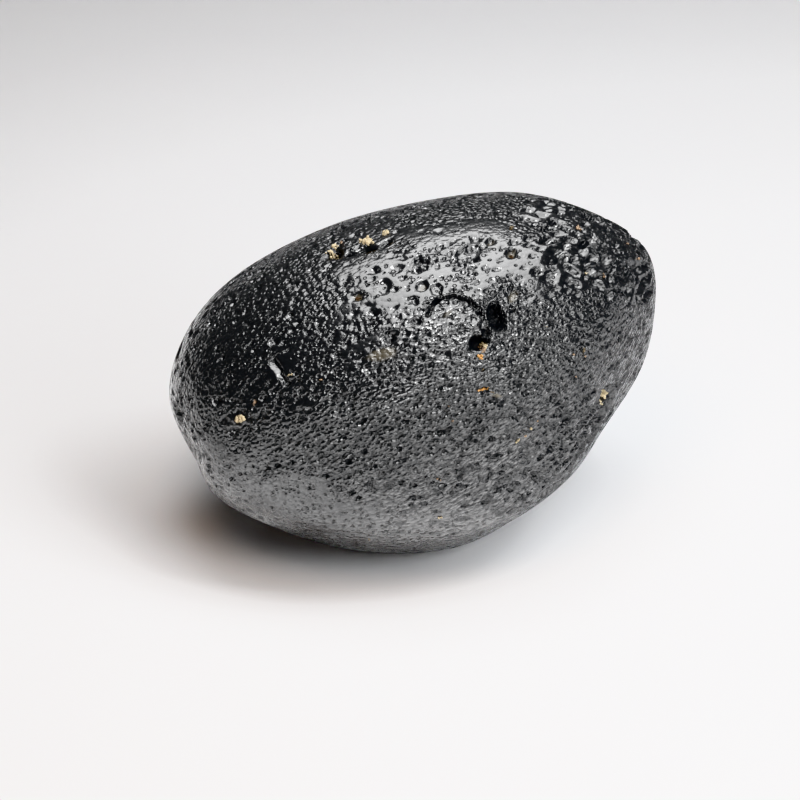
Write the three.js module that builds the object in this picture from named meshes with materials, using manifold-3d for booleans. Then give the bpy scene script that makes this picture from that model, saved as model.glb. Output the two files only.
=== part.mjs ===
// An indochinite tektite: one lump of natural black glass, splashed molten and frozen in flight,
// later etched in the soil. Millimetres, +Z up. The long axis runs along X and the fuller end is
// at +X. The origin is at the bottom centre of the stone's box, and the rest face lies in z = 0.
//
// A place on the stone is an azimuth, turned from +X towards +Y, and an elevation above the
// equator, both in degrees and both taken on the lump before it leans.

import * as THREE from 'three';
import { mergeVertices } from 'three/addons/utils/BufferGeometryUtils.js';
import Module from 'manifold-3d';

// ---- The lump -----------------------------------------------------------------------------

const HALF_LENGTH = 29.7;
const HALF_DEPTH = 20.1;
const HALF_HEIGHT = 20.1;
const FULLNESS = 2.15; // exponent of the round: 2 is an ellipsoid, more is squarer
const TAPER = 0.15; // how much fuller the +X end is than the middle
const LEAN = 7; // how far the +X end is raised
const REST_DEPTH = 0.8; // how far the worn rest face cuts into the belly

// Broad swells and flats: place, how wide each spreads (degrees), how far it stands out (mm).
const SWELLS = [
  { name: 'right shoulder', azimuth: 0, elevation: 40, width: 34, height: 1.8 },
  { name: 'right end', azimuth: 0, elevation: 0, width: 16, height: 0.7 },
  { name: 'right corner', azimuth: 5, elevation: 22, width: 15, height: 1.4 },
  { name: 'right underside', azimuth: -15, elevation: -40, width: 32, height: -3.2 },
  { name: 'front right cheek', azimuth: -40, elevation: 0, width: 30, height: -2.8 },
  { name: 'front keel', azimuth: -60, elevation: -42, width: 16, height: -1.3 },
  { name: 'front brow', azimuth: -90, elevation: 40, width: 34, height: 1.6 },
  { name: 'front belly', azimuth: -95, elevation: -45, width: 36, height: -0.2 },
  { name: 'left underside', azimuth: -165, elevation: -40, width: 32, height: -1.2 },
  { name: 'nose', azimuth: 180, elevation: 0, width: 16, height: -1.0 },
  { name: 'back left shoulder', azimuth: 140, elevation: 40, width: 34, height: 2.6 },
  { name: 'back', azimuth: 90, elevation: 0, width: 40, height: 0.3 },
  { name: 'back belly', azimuth: 90, elevation: -45, width: 36, height: 0.4 },
  { name: 'crown', azimuth: 90, elevation: 80, width: 34, height: 1.4 },
];

// Slow unevenness of the skin: waves across the lump, each a direction count, phase and height.
const WAVES = [
  { across: [6, 3, -5], phase: 0.4, height: 0.1 },
  { across: [-4, 8, 6], phase: 1.9, height: 0.08 },
  { across: [9, -6, 8], phase: 4.2, height: 0.06 },
];

const SKIN_DETAIL = 11; // subdivisions of the icosahedron that carries the skin

// ---- Pits and grooves -----------------------------------------------------------------------

// A pit is an oval bowl. Its turn is the angle of its long way, from east towards north.
const pit = (azimuth, elevation, length, width, depth, turn = 0) => (
  { azimuth, elevation, length, width, depth, turn }
);

// A groove is a channel of even width and depth through a few places.
const groove = (width, depth, ...places) => ({ width, depth, places });

const BURST_BUBBLES = [
  pit(-78, 43, 2.1, 1.8, 1.7),
  pit(-68.5, 47, 3.6, 2.1, 1.6, 80),
  pit(-74, 44.5, 1.3, 1.0, 0.8, 20),
  pit(-50, 68.5, 4.2, 2.9, 0.9, 15),
  pit(-61, 69.5, 2.2, 1.0, 0.5, 40),
];

const FRONT_PITS = [
  pit(-62.5, 47, 2.0, 1.1, 0.4, 80),
  pit(-106.5, 69, 2.0, 1.2, 0.4, 90),
  pit(-87, 65.5, 1.5, 1.5, 0.5),
  pit(-81, 63, 1.4, 1.3, 0.4),
  pit(-66, 75.5, 1.4, 1.4, 0.35),
  pit(-121.5, 67, 1.4, 1.3, 0.5),
  pit(-106.5, 64.5, 1.2, 1.1, 0.3),
  pit(-100, 75.5, 1.8, 1.2, 0.3),
];

const RIGHT_TOP_PITS = [
  pit(-34.5, 67, 1.2, 1.1, 0.5),
  pit(-39, 61, 1.7, 1.3, 0.65, 30),
  pit(-44, 53, 1.2, 1.1, 0.45),
  pit(-31, 62, 1.3, 1.2, 0.45),
  pit(-26, 64.5, 1.4, 1.2, 0.5),
  pit(-41.5, 50, 2.3, 1.9, 0.35),
];

const RIGHT_END_PITS = [
  pit(-13.5, 45, 2.7, 1.5, 0.75, 10),
  pit(-6.5, 54.5, 1.8, 1.5, 0.5),
  pit(-19, 40, 2.0, 1.8, 0.65),
  pit(-23.5, 36, 1.5, 1.3, 0.5),
  pit(-9.5, 37, 1.9, 1.4, 0.5, 60),
  pit(-10.5, 30, 2.2, 1.6, 0.55, 100),
  pit(-16, 24, 1.8, 1.5, 0.45),
  pit(4.5, 43, 2.8, 1.9, 0.8, 90),
  pit(8, 28, 2.6, 2.0, 0.7, 30),
  pit(2, 8, 2.2, 1.8, 0.6, 120),
  pit(-33, -1, 3.0, 2.4, 0.5, 100),
  pit(-38, 2, 1.5, 1.4, 0.7),
];

const LEFT_END_PITS = [
  pit(178, 14, 3.4, 2.6, 0.8, 40),
  pit(-170, -12, 2.4, 2.0, 0.6),
  pit(160, 30, 2.6, 1.9, 0.6, 120),
  pit(165, -8, 2.2, 2.1, 0.6),
  pit(-158, 30, 1.7, 1.3, 0.5, 30),
  pit(-150, 52, 1.6, 1.2, 0.4, 60),
];

const BACK_PITS = [
  pit(102, 18, 5.6, 4.2, 1.0, 25),
  pit(97, 22, 2.4, 2.0, 1.5),
  pit(66, 38, 3.0, 2.3, 0.8, 70),
  pit(122, -12, 2.8, 2.3, 0.7, 140),
  pit(58, -4, 3.6, 2.6, 0.8, 20),
  pit(131, 44, 2.4, 2.0, 0.6),
  pit(84, -32, 2.6, 2.2, 0.6),
  pit(35, 20, 2.2, 1.8, 0.6),
  pit(28, 48, 2.6, 1.8, 0.6, 45),
  pit(110, 58, 2.0, 1.8, 0.5),
];

const GROOVES = [
  // The crescent rim round the islet above the burst bubbles.
  groove(1.3, 0.5, [-90, 57], [-84, 59], [-77.5, 59], [-74, 55], [-73, 49]),
  // The far side of that rim, fainter.
  groove(1.0, 0.3, [-90, 57], [-94.5, 54.5], [-93, 50], [-86, 47]),
  groove(1.2, 0.6, [-146, 45], [-141, 42.5], [-133, 39.5]),
  groove(1.0, 0.45, [158, 76], [165, 80.5], [-172, 84.5], [-113, 86]),
  groove(1.1, 0.45, [-26.5, 53], [-33, 48], [-33, 45]),
  groove(1.1, 0.5, [-20, 47], [-28, 44], [-30, 37]),
  groove(1.5, 0.6, [44, 30], [56, 24], [70, 10], [78, -4]),
  groove(1.4, 0.55, [140, 22], [146, 8], [143, -8]),
  groove(1.3, 0.5, [20, -12], [34, -22], [52, -26]),
];

const GROOVE_OVERLAP = 0.9; // how much longer than its run each stretch is, in groove widths

// Small pits all over, laid out on a spiral that winds evenly from pole to pole.
const SCATTER_COUNT = 80;
const SCATTER_WIDTH = { least: 0.9, most: 1.7 };
const SCATTER_DEPTH_SHARE = 0.32; // depth as a share of width
const SCATTER_JITTER = 4; // degrees
const SCATTER_LOWEST = -62; // elevation below which the rest face has worn the pits away
const SCATTER_CLEARANCE = 5; // degrees kept from a named pit or groove

// ---- Finish -----------------------------------------------------------------------------------

const GLASS = { color: 0x141414, roughness: 0.28, metalness: 0 };

// ---- Working out ------------------------------------------------------------------------------

const wasm = await Module();
wasm.setup();

/** The unit vector at an azimuth and elevation in degrees. */
function direction(azimuth, elevation) {
  const a = THREE.MathUtils.degToRad(azimuth);
  const e = THREE.MathUtils.degToRad(elevation);
  return new THREE.Vector3(Math.cos(e) * Math.cos(a), Math.cos(e) * Math.sin(a), Math.sin(e));
}

/** How far the swells and waves raise the skin along a direction, as a share of its radius. */
function relief(way) {
  let height = 0;
  for (const swell of SWELLS) {
    const apart = 1 - way.dot(direction(swell.azimuth, swell.elevation));
    const spread = 1 - Math.cos(THREE.MathUtils.degToRad(swell.width));
    height += swell.height * Math.exp(-apart / spread);
  }
  for (const wave of WAVES) {
    const [i, j, k] = wave.across;
    height += wave.height * Math.sin(i * way.x + j * way.y + k * way.z + wave.phase);
  }
  return height / HALF_DEPTH;
}

/** The point of the lump's skin along a direction. */
function skin(way) {
  const power = [way.x, way.y, way.z].reduce((sum, w) => sum + Math.abs(w) ** FULLNESS, 0);
  const round = way.clone().multiplyScalar(power ** (-1 / FULLNESS) * (1 + relief(way)));
  const girth = 1 + TAPER * round.x;
  const upright = new THREE.Vector3(
    HALF_LENGTH * round.x,
    HALF_DEPTH * round.y * girth,
    HALF_HEIGHT * round.z * girth,
  );
  return upright.applyAxisAngle(new THREE.Vector3(0, 1, 0), -THREE.MathUtils.degToRad(LEAN));
}

/** A place on the skin with its outward, eastward and northward directions. */
function seat(azimuth, elevation) {
  const step = 0.5;
  const at = skin(direction(azimuth, elevation));
  const east = skin(direction(azimuth + step / Math.cos(THREE.MathUtils.degToRad(elevation)), elevation));
  const north = skin(direction(azimuth, elevation + step));
  east.sub(at).normalize();
  const out = east.clone().cross(north.sub(at)).normalize();
  return { at, east, north: out.clone().cross(east), out };
}

/** A closed geometry as a solid that can be cut and joined. */
function solid(geometry) {
  const bare = geometry.clone();
  bare.deleteAttribute('normal');
  bare.deleteAttribute('uv');
  const merged = mergeVertices(bare, 1e-5);
  return new wasm.Manifold(new wasm.Mesh({
    numProp: 3,
    vertProperties: new Float32Array(merged.attributes.position.array),
    triVerts: new Uint32Array(merged.index.array),
  }));
}

/** The skin as a solid, with no pits yet. */
function lump() {
  const geometry = new THREE.IcosahedronGeometry(1, SKIN_DETAIL);
  const points = geometry.attributes.position;
  const way = new THREE.Vector3();
  for (let i = 0; i < points.count; i += 1) {
    way.fromBufferAttribute(points, i).normalize();
    points.setXYZ(i, ...skin(way));
  }
  return solid(geometry);
}

/** The oval bowl that a pit takes out, as a solid. */
function bowl({ azimuth, elevation, length, width, depth, turn }) {
  const { at, east, north, out } = seat(azimuth, elevation);
  const facing = new THREE.Matrix4().makeBasis(east, north, out).setPosition(at);
  const shape = width > 1.75 ? new THREE.IcosahedronGeometry(1, 1) : new THREE.OctahedronGeometry(1, 1);
  shape.scale(length / 2, width / 2, depth);
  shape.rotateZ(THREE.MathUtils.degToRad(turn));
  shape.applyMatrix4(facing);
  return solid(shape);
}

/** The long overlapping pits that make up a groove, one for each stretch of it. */
function groovePits({ width, depth, places }) {
  const pits = [];
  for (let i = 0; i + 1 < places.length; i += 1) {
    const start = direction(...places[i]);
    const end = direction(...places[i + 1]);
    const middle = start.clone().add(end).normalize();
    const azimuth = THREE.MathUtils.radToDeg(Math.atan2(middle.y, middle.x));
    const elevation = THREE.MathUtils.radToDeg(Math.asin(middle.z));
    const { east, north } = seat(azimuth, elevation);
    const run = skin(end).sub(skin(start));
    const turn = THREE.MathUtils.radToDeg(Math.atan2(run.dot(north), run.dot(east)));
    pits.push(pit(azimuth, elevation, run.length() + GROOVE_OVERLAP * width, width, depth, turn));
  }
  return pits;
}

/** A repeatable number from 0 to 1 for a count and a kind. */
function chance(count, kind) {
  const value = Math.sin(count * 12.9898 + kind * 78.233) * 43758.5453;
  return value - Math.floor(value);
}

/** Small pits over the whole stone, clear of the named ones and of the rest face. */
function scatteredPits(named) {
  const taken = named.map((one) => direction(one.azimuth, one.elevation));
  const nearest = Math.cos(THREE.MathUtils.degToRad(SCATTER_CLEARANCE));
  const turn = 180 * (3 - Math.sqrt(5));
  const pits = [];
  for (let i = 0; i < SCATTER_COUNT; i += 1) {
    const level = THREE.MathUtils.radToDeg(Math.asin(1 - (2 * i + 1) / SCATTER_COUNT));
    const elevation = level + SCATTER_JITTER * (chance(i, 1) - 0.5);
    const azimuth = (i * turn) % 360 + SCATTER_JITTER * (chance(i, 2) - 0.5);
    const way = direction(azimuth, elevation);
    if (elevation > SCATTER_LOWEST && taken.every((other) => other.dot(way) < nearest)) {
      const width = THREE.MathUtils.lerp(SCATTER_WIDTH.least, SCATTER_WIDTH.most, chance(i, 3));
      const length = width * (1 + 0.4 * chance(i, 4));
      pits.push(pit(azimuth, elevation, length, width, SCATTER_DEPTH_SHARE * width, 180 * chance(i, 5)));
    }
  }
  return pits;
}

/** The whole stone: the lump, its rest face and its pits. */
function tektite() {
  const named = [
    ...BURST_BUBBLES,
    ...FRONT_PITS,
    ...RIGHT_TOP_PITS,
    ...RIGHT_END_PITS,
    ...LEFT_END_PITS,
    ...BACK_PITS,
    ...GROOVES.flatMap(groovePits),
  ];
  let stone = lump();
  for (const one of [...named, ...scatteredPits(named)]) {
    stone = stone.subtract(bowl(one));
  }

  const lowest = stone.boundingBox().min[2];
  const wear = new THREE.BoxGeometry(4 * HALF_LENGTH, 4 * HALF_DEPTH, 2 * HALF_HEIGHT);
  wear.translate(0, 0, lowest + REST_DEPTH - HALF_HEIGHT);
  const mesh = stone.subtract(solid(wear)).getMesh();

  const geometry = new THREE.BufferGeometry();
  geometry.setAttribute('position', new THREE.BufferAttribute(mesh.vertProperties, 3));
  geometry.setIndex(new THREE.BufferAttribute(mesh.triVerts, 1));
  geometry.computeBoundingBox();
  const { min, max } = geometry.boundingBox;
  geometry.translate(-(min.x + max.x) / 2, -(min.y + max.y) / 2, -min.z);
  geometry.computeVertexNormals();

  const part = new THREE.Mesh(geometry, new THREE.MeshStandardMaterial(GLASS));
  part.name = 'tektite';
  return part;
}

const group = new THREE.Group();
group.add(tektite());

export default group;
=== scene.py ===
"""An indochinite tektite: a lump of etched black natural glass, laid on a pale studio floor.

A place on the stone is an azimuth, turned from +X towards +Y, and an elevation above the equator,
both in degrees and both taken on the lump before it leans. Sizes on the stone are in millimetres
until the last step, which puts them in metres inside the frame's box.
"""

from __future__ import annotations

import logging
import math
from dataclasses import dataclass, field
from enum import Enum
from itertools import product

import bmesh
import bpy
import numpy as np
from mathutils import Matrix, Quaternion, Vector
from mathutils.bvhtree import BVHTree
from mathutils.kdtree import KDTree


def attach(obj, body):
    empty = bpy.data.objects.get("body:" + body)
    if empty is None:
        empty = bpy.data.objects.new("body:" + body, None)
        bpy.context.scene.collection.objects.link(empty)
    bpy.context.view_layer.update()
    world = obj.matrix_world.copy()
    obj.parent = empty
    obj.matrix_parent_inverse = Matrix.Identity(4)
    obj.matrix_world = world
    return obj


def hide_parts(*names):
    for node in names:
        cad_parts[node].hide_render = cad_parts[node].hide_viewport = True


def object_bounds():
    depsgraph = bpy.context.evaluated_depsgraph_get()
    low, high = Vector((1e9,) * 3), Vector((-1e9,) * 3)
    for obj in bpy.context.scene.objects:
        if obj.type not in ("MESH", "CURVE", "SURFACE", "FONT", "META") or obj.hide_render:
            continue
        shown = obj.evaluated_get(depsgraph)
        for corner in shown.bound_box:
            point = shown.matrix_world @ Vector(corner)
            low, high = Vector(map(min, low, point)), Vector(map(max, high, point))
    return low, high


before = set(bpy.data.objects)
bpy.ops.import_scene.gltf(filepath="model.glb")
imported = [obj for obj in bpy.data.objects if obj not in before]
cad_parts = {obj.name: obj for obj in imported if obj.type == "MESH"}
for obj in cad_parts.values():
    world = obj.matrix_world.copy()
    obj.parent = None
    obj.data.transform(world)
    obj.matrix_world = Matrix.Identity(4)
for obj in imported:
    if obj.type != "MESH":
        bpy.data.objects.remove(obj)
CAD_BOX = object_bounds()

MM = 0.001
NODE = "tektite"
BODY = "root"
WHITE = (1.0, 1.0, 1.0)
WARM = (1.0, 0.76, 0.6)

Point = tuple[float, float, float]
Pair = tuple[float, float]
Material = bpy.types.Material
Node = bpy.types.Node
Socket = bpy.types.NodeSocket
Tree = bpy.types.NodeTree

log = logging.getLogger("tektite")


class Slot(Enum):
    """The material slots of the glass and the soil."""

    GLASS = "tektite_glass"
    SOIL = "dried_soil"


class Skin(Enum):
    """The kinds of skin that etching has left on the stone, the ones that lie on top first."""

    CRINKLED = "crinkled"
    BUBBLED = "bubbled"
    SCABBY = "scabby"
    WINDOW = "window"
    PEPPERED = "peppered"
    FURROWED = "furrowed"
    WORN = "worn"
    ETCHED = "etched"


# ---- Geometry helpers ----


def direction(azimuth: float, elevation: float) -> np.ndarray:
    """Gives the unit vector at an azimuth and an elevation in degrees."""
    a, e = math.radians(azimuth), math.radians(elevation)
    return np.array([math.cos(e) * math.cos(a), math.cos(e) * math.sin(a), math.sin(e)])


def unit(rows: np.ndarray) -> np.ndarray:
    """Gives rows of vectors at unit length."""
    return rows / np.linalg.norm(rows, axis=-1, keepdims=True)


def smooth(value: np.ndarray, low: float, high: float) -> np.ndarray:
    """Rises smoothly from 0 at a low value to 1 at a high one."""
    t = np.clip((value - low) / (high - low), 0.0, 1.0)
    return t * t * (3.0 - 2.0 * t)


def put(name: str, data: bpy.types.ID) -> bpy.types.Object:
    """Puts an object in the scene, at the origin.

    Args:
        name: The object's name.
        data: Its mesh, light or camera.

    Returns:
        The object.
    """
    made = bpy.data.objects.new(name, data)
    bpy.context.scene.collection.objects.link(made)
    return made


def finished(name: str, bm: bmesh.types.BMesh) -> bpy.types.Object:
    """Puts a finished mesh in the scene as a smooth-shaded object.

    Args:
        name: The name of the object and its mesh.
        bm: The mesh, which is freed.

    Returns:
        The object.
    """
    mesh = bpy.data.meshes.new(name)
    bm.to_mesh(mesh)
    bm.free()
    mesh.polygons.foreach_set("use_smooth", [True] * len(mesh.polygons))
    return put(name, mesh)


# ---- The lump ----


@dataclass(frozen=True)
class Swell:
    """A broad swell or flat of the lump: its place, spread in degrees and height in mm."""

    azimuth: float
    elevation: float
    width: float
    height: float

    def raised(self, ways: np.ndarray) -> np.ndarray:
        """Gives how far the swell stands out along each direction, in millimetres."""
        spread = 1.0 - math.cos(math.radians(self.width))
        return self.height * np.exp((ways @ direction(self.azimuth, self.elevation) - 1.0) / spread)


@dataclass(frozen=True)
class Wave:
    """A slow wave over directions: how it runs across them, its phase and its height."""

    across: Point
    phase: float
    height: float

    def raised(self, ways: np.ndarray) -> np.ndarray:
        """Gives the wave's height along each direction."""
        return self.height * np.sin(ways @ np.array(self.across) + self.phase)


@dataclass(frozen=True)
class Lump:
    """The stone's form with no pits, in millimetres, and its lean in degrees.

    Fullness squares the ellipsoid off, and taper makes its +X end the thicker.
    """

    half_length: float = 29.7
    half_depth: float = 20.1
    half_height: float = 20.1
    fullness: float = 2.15
    taper: float = 0.15
    lean: float = 7.0
    rest_depth: float = 0.8
    swells: tuple[Swell, ...] = (
        Swell(0, 40, 34, 1.8),  # right shoulder
        Swell(0, 0, 16, 0.7),  # right end
        Swell(5, 22, 15, 1.4),  # right corner
        Swell(-15, -40, 32, -3.2),  # right underside
        Swell(-40, 0, 30, -2.8),  # front right cheek
        Swell(-60, -42, 16, -1.3),  # front keel
        Swell(-90, 40, 34, 1.6),  # front brow
        Swell(-95, -45, 36, -0.2),  # front belly
        Swell(-165, -40, 32, -1.2),  # left underside
        Swell(180, 0, 16, -1.0),  # nose
        Swell(140, 40, 34, 2.6),  # back left shoulder
        Swell(90, 0, 40, 0.3),  # back
        Swell(90, -45, 36, 0.4),  # back belly
        Swell(90, 80, 34, 1.4),  # crown
    )
    waves: tuple[Wave, ...] = (
        Wave((6, 3, -5), 0.4, 0.1),
        Wave((-4, 8, 6), 1.9, 0.08),
        Wave((9, -6, 8), 4.2, 0.06),
    )

    def skin(self, ways: np.ndarray) -> np.ndarray:
        """Gives the points of the skin along directions, in the lump's own place.

        Args:
            ways: Unit vectors, one a row.

        Returns:
            Points in millimetres, one a row.
        """
        power = (np.abs(ways) ** self.fullness).sum(axis=1)
        relief = sum(one.raised(ways) for one in (*self.swells, *self.waves))
        stretch = power ** (-1.0 / self.fullness) * (1.0 + relief / self.half_depth)
        round_ = ways * stretch[:, None]
        girth = 1.0 + self.taper * round_[:, 0]
        x = self.half_length * round_[:, 0]
        y = self.half_depth * round_[:, 1] * girth
        z = self.half_height * round_[:, 2] * girth
        c, s = math.cos(math.radians(self.lean)), math.sin(math.radians(self.lean))
        return np.column_stack((c * x - s * z, y, s * x + c * z))

    def seat(self, azimuth: float, elevation: float) -> tuple[np.ndarray, np.ndarray]:
        """Gives a place on the skin and its east, north and outward directions.

        Args:
            azimuth: Degrees from +X towards +Y.
            elevation: Degrees above the equator.

        Returns:
            The point, and the three directions, one a row.
        """
        step = 0.5
        turn = step / math.cos(math.radians(elevation))
        places = (azimuth, elevation), (azimuth + turn, elevation), (azimuth, elevation + step)
        at, east, north = self.skin(np.array([direction(*place) for place in places]))
        east = unit(east - at)
        out = unit(np.cross(east, north - at))
        return at, np.array([east, np.cross(out, east), out])


# ---- Pits ----


# The lobes round a ragged bowl: how many, how fast they turn with its phase, and their height.
LOBES = ((2, 1, 0.6), (3, 2, 0.5), (5, 3, 0.4))


@dataclass(frozen=True)
class Bowl:
    """A hollow ready to carve: its centre, its long, cross and outward ways, and its sizes.

    Its walls stand the steeper, and its floor lies the flatter, the higher its flatness.
    """

    at: np.ndarray
    ways: np.ndarray
    half_length: float
    half_width: float
    depth: float
    flatness: float = 2.0
    ragged: float = 0.0
    phase: float = 0.0

    def reach(self) -> float:
        """Gives how far from its centre the bowl can reach, in millimetres."""
        widest = 1.0 + self.ragged * sum(height for _, _, height in LOBES)
        return widest * max(self.half_length, self.half_width)

    def sunk(self, points: np.ndarray) -> np.ndarray:
        """Gives how deep the bowl is under points.

        Args:
            points: Points of the skin, one a row.

        Returns:
            Millimetres for each row, 0 outside the bowl.
        """
        local = (points - self.at) @ self.ways.T
        u, v = local[:, 0] / self.half_length, local[:, 1] / self.half_width
        reach = np.hypot(u, v)
        if self.ragged:
            angle = np.arctan2(v, u)
            wobble = sum(h * np.sin(n * angle + speed * self.phase) for n, speed, h in LOBES)
            reach = reach / (1.0 + self.ragged * wobble)
        return self.depth * np.clip(1.0 - reach**self.flatness, 0.0, 1.0)


@dataclass(frozen=True)
class Pit:
    """A named pit: its place, its size in mm, its turn from east towards north, and its build.

    The two shares, in radians for each degree of its place, give it a phase of its own.
    """

    azimuth: float
    elevation: float
    length: float
    width: float
    depth: float
    turn: float = 0.0
    flatness: float = 2.5
    ragged: float = 0.08
    azimuth_share: float = 0.7
    elevation_share: float = 1.3

    def bowl(self, lump: Lump) -> Bowl:
        """Gives the bowl that the pit carves.

        Args:
            lump: The stone that it lies on.

        Returns:
            The bowl on the lump's skin.
        """
        at, (east, north, out) = lump.seat(self.azimuth, self.elevation)
        c, s = math.cos(math.radians(self.turn)), math.sin(math.radians(self.turn))
        along = c * east + s * north
        ways = np.array([along, np.cross(out, along), out])
        phase = self.azimuth_share * self.azimuth + self.elevation_share * self.elevation
        length, width = self.length / 2, self.width / 2
        return Bowl(at, ways, length, width, self.depth, self.flatness, self.ragged, phase)


def pits(*rows: tuple[float, ...], flatness: float = 2.5, ragged: float = 0.08) -> tuple[Pit, ...]:
    """Gives pits that share a build, from rows of the fields up to the depth or the turn."""
    return tuple(Pit(*row, flatness=flatness, ragged=ragged) for row in rows)


@dataclass(frozen=True)
class Groove:
    """A channel through a few places: its width and depth in mm, and how uneven it is.

    The step from bowl to bowl is a share of the width, and the beat is in radians for each bowl.
    """

    width: float
    depth: float
    places: tuple[tuple[float, float], ...]
    step: float = 0.3
    uneven: float = 0.18
    beat: float = 2.7

    def bowls(self, lump: Lump) -> list[Bowl]:
        """Gives the overlapping bowls that make up the channel.

        Args:
            lump: The stone that it lies on.

        Returns:
            Bowls in order along the channel.
        """
        made = []
        for start, end in zip(self.places, self.places[1:]):
            a, b = direction(*start), direction(*end)
            run = np.linalg.norm(np.diff(lump.skin(np.array([a, b])), axis=0))
            count = max(1, round(run / (self.step * self.width)))
            for i in range(count + 1):
                way = unit(a + (b - a) * i / count)
                azimuth = math.degrees(math.atan2(way[1], way[0]))
                elevation = math.degrees(math.asin(way[2]))
                at, ways = lump.seat(azimuth, elevation)
                swell = 1.0 + self.uneven * math.sin(self.beat * i + azimuth)
                half = self.width / 2 * swell
                made.append(Bowl(at, ways, half, half, self.depth * swell))
        return made


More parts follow.
